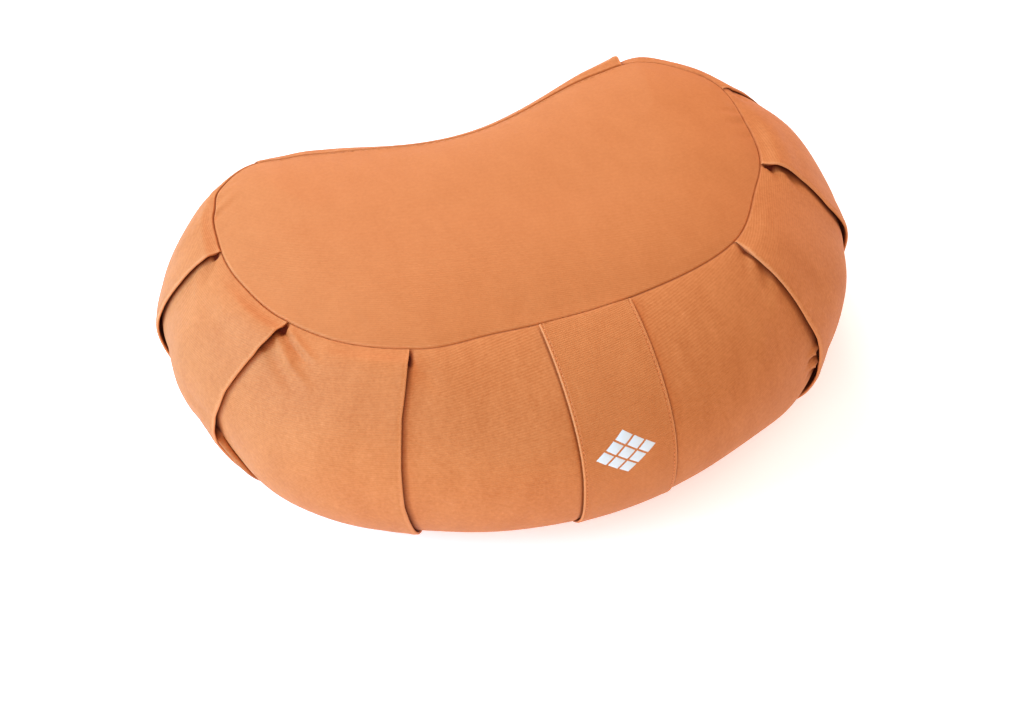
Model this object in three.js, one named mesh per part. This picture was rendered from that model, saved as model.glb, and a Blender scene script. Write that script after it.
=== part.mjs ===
// Crescent meditation cushion: a stuffed side band folded into knife pleats, closed by a crescent
// panel above and another below, with a flat carrying strap sewn over the middle of the front.
// Millimetres, +Z up, +X along the cushion's length, -Y towards its rounded front.
// It rests on the plane Z = 0.
import * as THREE from "three";

// Driving dimensions
const SEAM_TOP = 138; // height of the seam round the top panel
const SEAM_BOTTOM = 5; // height of the seam round the bottom panel
const CROWN = 12; // how far the top panel rises above its seam
const CLOTH = 1.6; // a panel's thickness with its backing
const CLEARANCE = 0.9; // between one piece and the next
const BULGE_MEAN = 44; // how far the band swells past the seam, all round
const BULGE_FRONT = 25.5; // more than the mean at the front, and less by as much at the back
const BULGE_QUARTERS = 2.25; // more at the front, the back and the ends than between them
const BULGE_LEAN = 4; // more at the +X end than at the -X end
const BULGE_FULLNESS = 2.25; // 2 with a power of 0.5 is a half ellipse, more is squarer
const BULGE_POWER = 0.74; // more draws the band in towards its seams
const BULGE_HIGH = 0.95; // below 1 sets the fullest part above the middle
const FLARE = 6.8; // how much farther out the bottom seam's side lies than the top one's
const BELLY = 2.5; // how far each length of band between two pleats swells by itself
const LIP = 2.4; // thickness of a pleat's folded edge
const LIP_SEAT = 0.5; // how far a pleat's edge always stands off the next length of band
const GAPE_SPREAD = 0.33; // share of the band's height over which a pleat gapes most
const SEWN = 0.018; // share of the band's height over which a pleat opens from a seam
const SHINGLE = 90; // distance along the seam over which the band falls away behind a pleat's edge
const GROOVE_WIDTH = 3; // the drawn-in channel along each seam
const GROOVE_DEPTH = 1.6;
const FOOT_INSET = 16; // from the bottom seam in to where the cushion lies flat
const STRAP_WIDTH = 60;
const STRAP_THICKNESS = 2;
const STRAP_SLACK = 0.4; // how far the strap stands off the band at its middle
const STRAP_LEAN = -7; // how far the strap's middle lies towards -X

// The seam's outline as seen from above, as waves round the crescent.
const OUTLINE_CENTRE_Y = 6.6;
const OUTLINE = [
  { wave: 1, alongX: 173.5, alongY: -108.8 },
  { wave: 2, alongX: -2.1, alongY: -17.3 },
  { wave: 3, alongX: -6.5, alongY: 18.5 },
  { wave: 4, alongX: 2.8, alongY: -3.4 },
];

// The top seam strays outward from that outline, or inward of it where out is negative. Each row has a
// place, as the distance along the seam from the front's middle, positive towards +X.
const STRAYS = [
  { place: -394, out: -1.5 },
  { place: -370, out: 0 },
  { place: -338, out: 5.5 },
  { place: -311, out: 4 },
  { place: -288, out: -0.3 },
  { place: -262, out: -2.3 },
  { place: -225, out: -1.2 },
  { place: -185, out: 1.4 },
  { place: -140, out: 2.6 },
  { place: -95, out: 2.3 },
  { place: -50, out: -2.8 },
  { place: 30, out: 0 },
  { place: 110, out: 2.8 },
  { place: 165, out: -3.8 },
  { place: 194, out: -2 },
  { place: 230, out: -3.6 },
  { place: 278, out: 1.2 },
  { place: 304, out: 0.5 },
  { place: 340, out: 3.8 },
  { place: 373, out: 0.2 },
  { place: 440, out: -0.6 },
];
const STRAY_REACH = 0.3; // share of the band's height over which the straying dies out

// Each pleat's place is measured along the seam from the front's middle, positive towards +X, and its
// edge faces the strap. The lap is how far the fold reaches back under it, and the gape how far it
// stands open at its widest. gapeAt is where that is, as a share of the band's height from the top.
// The sway is how far the edge drifts along the seam.
const PLEATS = [
  { place: 109, lap: 12, gape: 2.6, gapeAt: 0.56, sway: 8 },
  { place: 190, lap: 11, gape: 2, gapeAt: 0.42, sway: -6 },
  { place: 268, lap: 11, gape: 1.2, gapeAt: 0.45, sway: -3 },
  { place: 351, lap: 12, gape: 2.6, gapeAt: 0.3, sway: 0 },
  { place: -347, lap: 12, gape: 1.4, gapeAt: 0.4, sway: 0 },
  { place: -253, lap: 11, gape: 2.2, gapeAt: 0.44, sway: -2 },
  { place: -181, lap: 12, gape: 3.2, gapeAt: 0.6, sway: -18 },
  { place: -104, lap: 11, gape: 1.4, gapeAt: 0.5, sway: -2 },
];

// Where the filling stands proud of an even band, or falls short of it. Each has the middle as a place
// and a share of the band's height, how far it spreads along the seam and over what share of the
// height, and how high it is.
const SWELLS = [
  { place: -262, down: 0.46, along: 18, share: 0.14, height: 3 },
  { place: -220, down: 0.66, along: 27, share: 0.2, height: -5.5 },
  { place: -172, down: 0.8, along: 20, share: 0.2, height: 2.2 },
  { place: -125, down: 0.8, along: 30, share: 0.2, height: 1.4 },
  { place: -60, down: 0.78, along: 60, share: 0.18, height: 2 },
  { place: 2, down: 0.74, along: 30, share: 0.2, height: -1.4 },
  { place: 104, down: 0.78, along: 28, share: 0.2, height: 6 },
  { place: 140, down: 0.74, along: 20, share: 0.16, height: 1.6 },
  { place: 140, down: 0.56, along: 16, share: 0.18, height: -2.5 },
  { place: 176, down: 0.36, along: 22, share: 0.12, height: 2.4 },
  { place: 212, down: 0.28, along: 22, share: 0.16, height: -3 },
  { place: 240, down: 0.12, along: 26, share: 0.12, height: 1.8 },
  { place: 276, down: 0.08, along: 26, share: 0.12, height: -4 },
  { place: 337, down: 0.05, along: 15, share: 0.1, height: 2.4 },
  { place: 398, down: 0.06, along: 36, share: 0.12, height: -3 },
  { place: -392, down: 0.06, along: 40, share: 0.12, height: -4.5 },
  { place: -322, down: 0.12, along: 24, share: 0.13, height: -4.5 },
  { place: -290, down: 0.22, along: 24, share: 0.16, height: -2 },
];

// A pleat's section, from the outer length of band, round its folded edge, back under it and out onto
// the next length. Ahead is the distance past the edge, and back the share of the lap behind it. Thick
// is the share of the lip's thickness and open the share of the gape below it that a point lies above
// the next length. Sewn is how far past the edge the same point lies where the fold is sewn down.
const FOLD = [
  { sewn: -14, ahead: -14, back: 0, thick: 1, open: 1 },
  { sewn: -6, ahead: -5, back: 0, thick: 1, open: 1 },
  { sewn: -3, ahead: -1, back: 0, thick: 0.9, open: 1 },
  { sewn: -2, ahead: 0, back: 0, thick: 0.5, open: 1 },
  { sewn: -1.2, ahead: -1, back: 0, thick: 0.1, open: 1 },
  { sewn: -0.6, ahead: 0, back: 0.5, thick: 0, open: 0.95 },
  { sewn: 0, ahead: 0, back: 1, thick: 0, open: 0.5 },
  { sewn: 0.8, ahead: 0, back: 0.5, thick: 0, open: 0.04 },
  { sewn: 2, ahead: 1, back: 0, thick: 0, open: 0.02 },
  { sewn: 6, ahead: 6, back: 0, thick: 0, open: 0 },
];

const SEAM_EDGE = 0.0008; // where the band's rows start and end, as a share of its height
const BAND_ROWS = 18;
const COLUMN_PITCH = 13;
const PANEL_COLUMNS = 104;
const PANEL_RINGS = [0.25, 0.5, 0.7, 0.85, 0.95];
const CROWN_CENTRE = new THREE.Vector2(0, -6);
const CROWN_REACH = 75; // how far in from the seam the top panel is still rising
const CROWN_POWER = 2.3;
const STRAP_ROWS = 22;
const STRAP_COLUMNS = 6;

const mix = (a, b, share) => a + (b - a) * share;
const ease = (share) => {
  const t = THREE.MathUtils.clamp(share, 0, 1);
  return t * t * (3 - 2 * t);
};

// The seam's point and outward direction at an angle, 0 at the front's middle and growing towards +X,
// with a share of the top seam's straying.
function outlineAt(angle, stray = 0) {
  const point = new THREE.Vector2(0, OUTLINE_CENTRE_Y);
  const along = new THREE.Vector2();
  for (const { wave, alongX, alongY } of OUTLINE) {
    point.x += alongX * Math.sin(wave * angle);
    point.y += alongY * Math.cos(wave * angle);
    along.x += wave * alongX * Math.cos(wave * angle);
    along.y -= wave * alongY * Math.sin(wave * angle);
  }
  const outward = new THREE.Vector2(along.y, -along.x).normalize();
  if (stray > 0) point.addScaledVector(outward, stray * strayAt(angle));
  return { point, outward };
}

function outlineLength(steps = 720) {
  let length = 0;
  let last = outlineAt(0).point;
  for (let i = 1; i <= steps; i++) {
    const next = outlineAt((2 * Math.PI * i) / steps).point;
    length += next.distanceTo(last);
    last = next;
  }
  return length;
}
const PERIMETER = outlineLength();
const angleOf = (place) => (2 * Math.PI * place) / PERIMETER;

// How far the top seam strays at an angle.
function strayAt(angle) {
  const place = (angle * PERIMETER) / (2 * Math.PI);
  const ahead = (row) => THREE.MathUtils.euclideanModulo(row.place - place, PERIMETER);
  const behind = (row) => PERIMETER - ahead(row);
  const nearest = (measure) => STRAYS.reduce((a, b) => (measure(b) < measure(a) ? b : a));
  const next = nearest(ahead);
  const last = nearest(behind);
  return mix(last.out, next.out, ease(behind(last) / (behind(last) + ahead(next))));
}

function bulgeAt(angle) {
  const ends = Math.cos(2 * angle) + Math.cos(4 * angle);
  return (
    BULGE_MEAN +
    BULGE_FRONT * Math.cos(angle) +
    BULGE_QUARTERS * ends +
    BULGE_LEAN * Math.sin(angle)
  );
}

// The band's section, as the distance out from the seam and the height, with down 0 at the top seam
// and 1 at the bottom one.
function bandSection(swell, down) {
  const level = Math.abs(2 * down ** BULGE_HIGH - 1);
  const full = (1 - level ** BULGE_FULLNESS) ** BULGE_POWER;
  return new THREE.Vector2(swell * full + FLARE * down, mix(SEAM_TOP, SEAM_BOTTOM, down));
}

// How far the filling lifts the band off an even one.
function swellAt(place, down) {
  const total = SWELLS.reduce((sum, swell) => {
    const turns = Math.round((place - swell.place) / PERIMETER);
    const off = (place - swell.place - turns * PERIMETER) / swell.along;
    const below = (down - swell.down) / swell.share;
    return sum + swell.height * Math.exp(-(off ** 2) - below ** 2);
  }, 0);
  return total * ease(down / 0.03) * ease((1 - down) / 0.05);
}

// A point on the band, place being the distance along the seam, with a lift off the band's face.
function bandPoint(place, down, lift = 0) {
  const angle = angleOf(place);
  const off = lift + swellAt(place, down);
  const { point, outward } = outlineAt(angle, 1 - ease(down / STRAY_REACH));
  const share = THREE.MathUtils.clamp(down, SEAM_EDGE, 1 - SEAM_EDGE);
  const swell = bulgeAt(angle);
  const here = bandSection(swell, share);
  const above = bandSection(swell, share - SEAM_EDGE / 2);
  const below = bandSection(swell, share + SEAM_EDGE / 2);
  const face = above.sub(below).normalize();
  return new THREE.Vector3(
    point.x + outward.x * (here.x + face.y * off),
    point.y + outward.y * (here.x + face.y * off),
    here.y - face.x * off,
  );
}

// The share of the band's height at each of a number of rows, closer together towards the seams.
function heightShares(rows) {
  return Array.from({ length: rows + 1 }, (_, row) => {
    const share = (1 - Math.cos((Math.PI * row) / rows)) / 2;
    return mix(SEAM_EDGE, 1 - SEAM_EDGE, share);
  });
}

// How far a pleat is free at a height: 0 where a seam holds it down, 1 past that.
const freed = (down) => ease(down / SEWN) * ease((1 - down) / SEWN);
const bellied = (down) => Math.sin(Math.PI * down);

// The columns of a pleat. Each gives its place along the seam and its lift off the band's face, at a height.
function pleatColumns(pleat) {
  const facing = pleat.place > 0 ? -1 : 1;
  const gape = (down) =>
    LIP_SEAT + pleat.gape * Math.exp(-(((down - pleat.gapeAt) / GAPE_SPREAD) ** 2));
  const columns = FOLD.map(({ sewn, ahead, back, thick, open }) => ({
    place: (down) => {
      const past = mix(sewn, ahead - back * pleat.lap, freed(down));
      return pleat.place + facing * past + pleat.sway * bellied(down);
    },
    lift: (down) => freed(down) * (thick * LIP + open * gape(down)),
  }));
  return facing > 0 ? columns : columns.reverse();
}

// The plain columns of the length of band between two pleats, from the last column of one to the first
// of the next, which a full turn may part.
function lengthColumns(from, to, turn) {
  const gap = to.place(0) + turn - from.place(0);
  const fall = Math.max(1, gap / SHINGLE);
  const count = Math.max(2, Math.round(gap / COLUMN_PITCH));
  return Array.from({ length: count - 1 }, (_, i) => {
    const share = (i + 1) / count;
    return {
      place: (down) => mix(from.place(down), to.place(down) + turn, share),
      lift: (down) =>
        from.lift(down) * (1 - ease(share * fall)) +
        to.lift(down) * (1 - ease((1 - share) * fall)) +
        BELLY * bellied(down) * Math.sin(Math.PI * share),
    };
  });
}

// All the band's columns, in order along the seam.
function bandColumns() {
  const inOrder = [...PLEATS].sort((a, b) => a.place - b.place);
  const folds = inOrder.map(pleatColumns);
  return folds.flatMap((columns, i) => {
    const turn = i + 1 < folds.length ? 0 : PERIMETER;
    const next = folds[(i + 1) % folds.length];
    return [...columns, ...lengthColumns(columns[columns.length - 1], next[0], turn)];
  });
}

// A closed solid from rings of points, each ring running the same way round, with a point at either end.
function solidFromRings(first, rings, last) {
  const points = [first, ...rings.flat(), last];
  const around = rings[0].length;
  const at = (ring, i) => 1 + ring * around + (i % around);
  const faces = [];
  for (let i = 0; i < around; i++) {
    faces.push(0, at(0, i), at(0, i + 1));
    for (let ring = 0; ring + 1 < rings.length; ring++) {
      faces.push(at(ring, i), at(ring + 1, i), at(ring + 1, i + 1));
      faces.push(at(ring, i), at(ring + 1, i + 1), at(ring, i + 1));
    }
    faces.push(points.length - 1, at(rings.length - 1, i + 1), at(rings.length - 1, i));
  }
  const geometry = new THREE.BufferGeometry().setFromPoints(points);
  geometry.setIndex(faces);
  geometry.computeVertexNormals();
  return geometry;
}

const evenAngles = (count) =>
  Array.from({ length: count }, (_, i) => (2 * Math.PI * i) / count);
const SEAM_POINTS = evenAngles(240).map((angle) => outlineAt(angle, 1).point);

// How far the top panel has risen at a point, from its distance to the seam.
function crownAt({ x, y }) {
  const reach = Math.min(...SEAM_POINTS.map((seam) => Math.hypot(seam.x - x, seam.y - y)));
  return CROWN * (1 - (1 - Math.min(1, reach / CROWN_REACH)) ** CROWN_POWER);
}

// A ring inside the seam: share of the way out from the crown's centre, less an inset, at a height. It
// takes the top seam's straying when stray is 1.
function insideRing(angles, share, inset, height, stray = 0) {
  return angles.map((angle) => {
    const { point, outward } = outlineAt(angle, stray);
    const flat = point.clone().addScaledVector(outward, -inset);
    flat.sub(CROWN_CENTRE).multiplyScalar(share).add(CROWN_CENTRE);
    return new THREE.Vector3(flat.x, flat.y, height);
  });
}

// Rings of the top panel, domed, less a drop.
const domedRings = (angles, drop) =>
  PANEL_RINGS.map((share) =>
    insideRing(angles, share, 0, SEAM_TOP - drop, 1).map((point) =>
      point.setZ(point.z + crownAt(point)),
    ),
  );

const centreAt = (height) => new THREE.Vector3(CROWN_CENTRE.x, CROWN_CENTRE.y, height);

function stuffedBand() {
  const columns = bandColumns();
  const angles = columns.map(({ place }) => angleOf(place(0)));
  const bed = CLOTH + CLEARANCE;
  const topRings = domedRings(angles, bed);
  topRings.push(insideRing(angles, 1, GROOVE_WIDTH, SEAM_TOP - bed, 1));
  topRings.push(insideRing(angles, 1, GROOVE_WIDTH / 3, SEAM_TOP - bed - GROOVE_DEPTH, 1));
  const bandRings = heightShares(BAND_ROWS).map((down) =>
    columns.map(({ place, lift }) => bandPoint(place(down), down, lift(down))),
  );
  const lowRings = [
    insideRing(angles, 1, GROOVE_WIDTH / 3, SEAM_BOTTOM + GROOVE_DEPTH + bed),
    insideRing(angles, 1, GROOVE_WIDTH, SEAM_BOTTOM + bed),
    insideRing(angles, 1, FOOT_INSET, bed),
    insideRing(angles, PANEL_RINGS[1], FOOT_INSET, bed),
  ];
  return solidFromRings(
    centreAt(SEAM_TOP + CROWN - bed),
    [...topRings, ...bandRings, ...lowRings],
    centreAt(bed),
  );
}

function topPanel() {
  const angles = evenAngles(PANEL_COLUMNS);
  const outer = domedRings(angles, 0);
  const inner = domedRings(angles, CLOTH).reverse();
  const rim = [
    insideRing(angles, 1, GROOVE_WIDTH, SEAM_TOP + 0.6, 1),
    insideRing(angles, 1, GROOVE_WIDTH * 0.46, SEAM_TOP - CLOTH / 2, 1),
    insideRing(angles, 1, GROOVE_WIDTH / 2, SEAM_TOP - CLOTH - GROOVE_DEPTH / 2, 1),
    insideRing(angles, 1, GROOVE_WIDTH, SEAM_TOP - CLOTH, 1),
  ];
  return solidFromRings(
    centreAt(SEAM_TOP + CROWN),
    [...outer, ...rim, ...inner],
    centreAt(SEAM_TOP + CROWN - CLOTH),
  );
}

function bottomPanel() {
  const angles = evenAngles(PANEL_COLUMNS);
  const rings = [
    insideRing(angles, PANEL_RINGS[1], FOOT_INSET, CLOTH),
    insideRing(angles, 1, FOOT_INSET, CLOTH),
    insideRing(angles, 1, GROOVE_WIDTH, SEAM_BOTTOM + CLOTH),
    insideRing(angles, 1, GROOVE_WIDTH / 3, SEAM_BOTTOM + CLOTH / 2),
    insideRing(angles, 1, GROOVE_WIDTH, SEAM_BOTTOM),
    insideRing(angles, 1, FOOT_INSET, 0),
    insideRing(angles, PANEL_RINGS[1], FOOT_INSET, 0),
  ];
  return solidFromRings(centreAt(CLOTH), rings, centreAt(0));
}

// The strap follows the band's face from one seam to the other, as rings of points round its section.
function carryStrap() {
  const across = Array.from({ length: STRAP_COLUMNS + 1 }, (_, i) => i / STRAP_COLUMNS - 0.5);
  const rings = heightShares(STRAP_ROWS).map((down) => {
    const spread = bandPoint(1, down).distanceTo(bandPoint(-1, down)) / 2;
    const lean = STRAP_LEAN * bellied(down);
    const stand = CLEARANCE + (BELLY + STRAP_SLACK) * bellied(down);
    const edge = (lift) => (side) =>
      bandPoint((side * STRAP_WIDTH + lean) / spread, down, lift);
    return [
      ...across.map(edge(stand + STRAP_THICKNESS)),
      ...across.map(edge(stand)).reverse(),
    ];
  });
  const middleOf = (ring) =>
    ring.reduce((sum, p) => sum.add(p), new THREE.Vector3()).divideScalar(ring.length);
  return solidFromRings(middleOf(rings[0]), rings, middleOf(rings[STRAP_ROWS]));
}

const cloth = (color) =>
  new THREE.MeshStandardMaterial({ color, roughness: 0.92, metalness: 0 });

function piece(name, geometry, color) {
  const mesh = new THREE.Mesh(geometry, cloth(color));
  mesh.name = name;
  return mesh;
}

const cushion = new THREE.Group();
cushion.add(piece("stuffed_band", stuffedBand(), 0xd98452));
cushion.add(piece("top_panel", topPanel(), 0xec9763));
cushion.add(piece("bottom_panel", bottomPanel(), 0xd98452));
cushion.add(piece("carry_strap", carryStrap(), 0xd67f4c));

// The origin is under the middle of the whole, at the height that it rests on.
const box = new THREE.Box3().setFromObject(cushion);
const middle = box.getCenter(new THREE.Vector3());
cushion.position.set(-middle.x, -middle.y, -box.min.z);

export default cushion;
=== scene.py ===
"""Crescent meditation cushion: a stuffed side band in knife pleats, crescent panels above and below, and a
carrying strap down the front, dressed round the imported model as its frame. Metres, +Z up, -Y the rounded
front. Shapes are worked out in millimetres and turned to metres where a mesh is made."""

import math

import bmesh
import bpy
import numpy as np
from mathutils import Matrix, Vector


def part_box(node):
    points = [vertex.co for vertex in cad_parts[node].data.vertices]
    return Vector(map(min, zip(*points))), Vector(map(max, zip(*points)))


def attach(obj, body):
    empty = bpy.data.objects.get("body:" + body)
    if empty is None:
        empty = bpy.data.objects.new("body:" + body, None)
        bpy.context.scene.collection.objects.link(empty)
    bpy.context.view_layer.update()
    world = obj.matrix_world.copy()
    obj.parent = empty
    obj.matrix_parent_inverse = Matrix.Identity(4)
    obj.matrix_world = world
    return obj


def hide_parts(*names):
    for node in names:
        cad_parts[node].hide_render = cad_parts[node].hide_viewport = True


bl_info = {
    "name": "Crescent meditation cushion",
    "version": (1, 0, 0),
    "blender": (4, 5, 0),
    "location": "3D View > Sidebar > Cushion",
    "description": "Pleated crescent cushion with crowned panels and a carrying strap",
    "category": "Object",
}

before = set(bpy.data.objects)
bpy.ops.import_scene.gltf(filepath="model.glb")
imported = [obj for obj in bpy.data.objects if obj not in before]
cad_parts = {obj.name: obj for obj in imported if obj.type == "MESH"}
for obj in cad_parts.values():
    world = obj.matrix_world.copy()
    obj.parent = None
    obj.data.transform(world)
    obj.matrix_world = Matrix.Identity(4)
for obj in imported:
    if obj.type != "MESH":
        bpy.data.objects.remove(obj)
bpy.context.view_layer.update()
PANEL_LOW, PANEL_HIGH = (np.array(corner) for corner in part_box("bottom_panel"))
CROWN_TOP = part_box("top_panel")[1][2]
MM = 0.001  # a millimetre in metres


def table(columns, *rows):
    """Rows of values as dictionaries, by the names of their columns."""
    return [dict(zip(columns.split(), row)) for row in rows]


# The seam's outline as seen from above, in millimetres, as waves round the crescent.
OUTLINE_CENTRE_Y = 6.6
OUTLINE = table(
    "wave along_x along_y",
    (1, 173.5, -108.8),
    (2, -2.1, -17.3),
    (3, -6.5, 18.5),
    (4, 2.8, -3.4),
)

# Where the top seam strays outward from that outline, and how dark the painted shade along it is, from 0 to
# 1, by its place: the millimetres along the seam from the front's middle, positive towards +X. The straying
# dies out down the band.
STRAYS = table(
    "place out deep",
    (-394, -1.5, 0.3),
    (-370, 0.0, 0.6),
    (-338, 5.5, 0.4),
    (-311, 4.0, 1.0),
    (-288, -0.3, 1.0),
    (-262, -2.3, 0.75),
    (-225, -1.2, 0.5),
    (-185, 1.4, 0.5),
    (-140, 2.6, 0.35),
    (-95, 2.3, 0.3),
    (-50, -2.8, 0.6),
    (30, 0.0, 0.9),
    (110, 2.8, 0.5),
    (165, -3.8, 0.3),
    (194, -2.0, 0.5),
    (230, -3.6, 0.5),
    (278, 1.2, 0.5),
    (304, 0.5, 0.25),
    (340, 3.8, 0.5),
    (373, 0.2, 0.7),
    (440, -0.6, 0.3),
)

# Each pleat's place is measured along the seam from the front's middle, in millimetres, positive towards
# +X, and its edge faces the strap. Each of the other columns is a short curve of pairs: a share of the
# band's height from the top, and millimetres there. Sway is how far the edge drifts along the seam, gape
# how far it stands open, and lap how far the fold reaches back under it, or ahead of it where the fold has
# pulled open. Thick is the share of the fold's thickness left where it is pressed flat. Where a pleat has
# no curve of its own, the plain pleat's holds.
PLAIN_PLEAT = {"sway": ((0, 0), (1, 0)), "lap": ((0, 12), (1, 12)), "thick": ((0, 1), (1, 1))}
PLEATS = (
    {
        "place": 107,
        "sway": ((0, 4.5), (0.01, 3.4), (0.03, 2.2), (0.08, 3.2), (0.15, 3.8), (0.26, 5), (0.37, 8),
                 (0.47, 9.2), (0.65, 10), (0.85, 5), (1, 0)),
        "gape": ((0, 0.4), (0.04, 1.6), (0.2, 1.4), (0.34, 2.2), (0.45, 2.7), (0.62, 2.8), (0.8, 1.6),
                 (1, 0.4)),
    },
    {
        "place": 190,
        "sway": ((0, 0.5), (0.03, 0), (0.09, -2.2), (0.14, -4.5), (0.19, -6.5), (0.3, -6), (0.5, -5),
                 (1, 0)),
        "gape": ((0, 0.4), (0.015, 2.6), (0.04, 2.8), (0.08, 1.2), (0.2, 1.4), (0.33, 2.7), (0.45, 2.2),
                 (0.65, 1.2), (1, 0.4)),
        "lap": ((0, 11), (1, 11)),
    },
    {
        "place": 268,
        "sway": ((0, 0), (0.05, -1.5), (0.15, -2.5), (1, 0)),
        "gape": ((0, 0.4), (0.03, 0.8), (0.07, 0.5), (0.12, 0.3), (0.2, 0.2), (1, 0.2)),
        "lap": ((0, 11), (1, 11)),
        "thick": ((0, 1), (0.09, 1), (0.16, 0.3), (1, 0.5)),
    },
    {
        "place": 351,
        "gape": ((0, 0.4), (0.03, 4), (0.2, 3.5), (0.5, 2), (1, 0.4)),
    },
    {
        "place": -347,
        "gape": ((0, 0.3), (0.06, 0.4), (0.12, 1), (0.3, 1.6), (0.5, 1.4), (1, 0.4)),
        "thick": ((0, 0.4), (0.06, 0.5), (0.2, 1), (1, 1)),
    },
    {
        "place": -255,
        "sway": ((0, 4), (0.02, 5), (0.06, 4), (0.14, 3.2), (0.26, 0), (0.4, -3), (0.5, -2), (0.7, 0),
                 (1, 0)),
        "gape": ((0, 0.4), (0.015, 2.2), (0.04, 1.6), (0.2, 1.4), (0.34, 2), (0.46, 2.4), (0.6, 1.8),
                 (1, 0.4)),
        "lap": ((0, 11), (1, 11)),
    },
    {
        "place": -181,
        "sway": ((0, 1.5), (0.03, 0.5), (0.06, -2.8), (0.11, -5.8), (0.18, -9), (0.25, -12),
                 (0.32, -13.6), (0.42, -16.8), (0.52, -18), (0.66, -20), (0.8, -13), (1, 0)),
        "gape": ((0, 0.6), (0.014, 4.2), (0.035, 4.4), (0.06, 3), (0.085, 1.2), (0.34, 0.9),
                 (0.44, 1.6), (0.52, 4), (0.62, 4.8), (0.8, 3), (1, 0.4)),
        "lap": ((0, 12), (0.48, 12), (0.56, 6), (0.62, -3), (0.72, -13), (0.88, -8), (1, 8)),
    },
    {
        "place": -104,
        "sway": ((0, 0.4), (0.05, -0.8), (0.13, -2.6), (0.3, -3), (0.5, -2.4), (0.7, 0.8), (0.85, 3),
                 (1, 0)),
        "gape": ((0, 0.4), (0.014, 2.8), (0.035, 2.8), (0.06, 1.4), (0.1, 1.1), (0.3, 1.1), (0.6, 1.4),
                 (0.8, 1), (1, 0.4)),
        "lap": ((0, 11), (1, 11)),
    },
)

# Soft gathers and creases in the band's cloth. Each runs from one place and share of the height to
# another, on the length of band that starts at the named pleat, counting the pleats towards +X from the
# -X end of the back.
GATHERS = table(
    "length start end width height",
    (0, (-283, 0.014), (-264, 0.034), 1.7, -2.2),
    (0, (-284, 0.030), (-266, 0.048), 1.8, 1.9),
    (0, (-285, 0.048), (-268, 0.064), 1.8, -2.0),
    (0, (-286, 0.066), (-270, 0.080), 2.0, 1.4),
    (1, (-250.6, 0.004), (-249.6, 0.02), 1.5, -2.6),
    (1, (-248, 0.01), (-236, 0.06), 3, -1.4),
    (1, (-248, 0.05), (-232, 0.12), 4, 1.0),
    (2, (-179, 0.024), (-149, 0.110), 2.5, 3.1),
    (2, (-178, 0.010), (-154, 0.052), 1.7, -1.9),
    (2, (-176, 0.006), (-148, 0.044), 2.1, 2.3),
    (2, (-180, 0.048), (-154, 0.145), 3.4, -1.5),
    (2, (-179.2, 0.003), (-178.6, 0.024), 1.8, -4),
    (2, (-183.4, 0.046), (-183.8, 0.068), 1.4, -2.3),
    (3, (-103.4, 0.003), (-103, 0.026), 1.5, -3),
    (3, (110.8, 0.006), (109.2, 0.03), 1.5, -2.4),
    (3, (107, 0.012), (97, 0.05), 2.2, -1.5),
    (3, (107, 0.024), (99, 0.08), 2.2, 1.5),
    (3, (108, 0.05), (100, 0.12), 2.8, -1.6),
    (3, (108, 0.08), (96, 0.17), 3.6, 1.2),
    (3, (116, 0.41), (110, 0.455), 1.9, 3.6),
    (3, (116, 0.46), (109, 0.485), 1.8, -3.0),
    (3, (117, 0.50), (110, 0.53), 2.0, 3.4),
    (3, (117, 0.545), (110, 0.575), 2.0, -2.4),
    (3, (-98, 0.01), (-86, 0.07), 4, -0.9),
    (3, (-101, 0.006), (-92, 0.03), 1.8, 1.0),
    (3, (87, 0.13), (77, 0.26), 5, 0.8),
    (4, (190, 0.004), (188.4, 0.022), 1.8, -3),
    (4, (188, 0.012), (180, 0.035), 1.9, -1.7),
    (4, (187, 0.030), (179, 0.065), 2.0, 1.3),
    (4, (187, 0.052), (180, 0.10), 2.4, -1.5),
    (5, (262, 0.015), (254, 0.06), 3, -1.3),
)

# Where the filling stands proud of an even band or falls short of it, in millimetres: the middle as a
# place and a share of the height, how far it spreads along the seam, and over what share of the height.
SWELLS = table(
    "place down along share height",
    (-262, 0.46, 18, 0.14, 3),
    (-220, 0.66, 27, 0.2, -5.5),
    (-172, 0.8, 20, 0.2, 2.2),
    (-125, 0.8, 30, 0.2, 1.4),
    (-60, 0.78, 60, 0.18, 2),
    (2, 0.74, 30, 0.2, 0.6),
    (104, 0.78, 28, 0.2, 6),
    (140, 0.74, 20, 0.16, 1.6),
    (140, 0.56, 16, 0.18, -2.5),
    (176, 0.36, 22, 0.12, 2.4),
    (212, 0.28, 22, 0.16, -3),
    (240, 0.12, 26, 0.12, 1.8),
    (276, 0.08, 26, 0.12, -4),
    (337, 0.05, 15, 0.1, 2.4),
    (398, 0.06, 36, 0.12, -3),
    (-388, 0.06, 32, 0.12, 1.4),
    (-322, 0.12, 24, 0.13, -4.5),
    (-290, 0.22, 24, 0.16, -2),
)

# Small creases in the top panel near its seam, each a trough or a ridge from one point to another, in
# millimetres from the middle of the outline.
PANEL_CREASES = table(
    "start end width height",
    ((-178, 60.5), (-153, 71), 2.3, -1.3),
    ((-177, 65.5), (-155, 75), 2.8, 1.3),
    ((-172, 74), (-156, 83), 2.2, -1),
    ((-170, 79), (-152, 87), 2.4, 0.8),
    ((-163, 85), (-144, 91), 2.2, -0.5),
    ((-173, 47), (-164, 51), 2.6, -0.6),
    ((178, 23), (159, 25), 2.2, -0.8),
    ((177, 10), (157, 12), 2.2, -0.8),
    ((177, 16), (160, 19), 2.6, 0.6),
    ((174, -3), (156, -3), 2.2, -0.7),
    ((-123, -66), (-121, -50), 3.0, -0.25),
    ((-36, -92), (-26, -80), 3.0, -0.3),
)

# Over what share of the band's height the straying of the top seam dies out.
STRAY_REACH = 0.3

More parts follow.
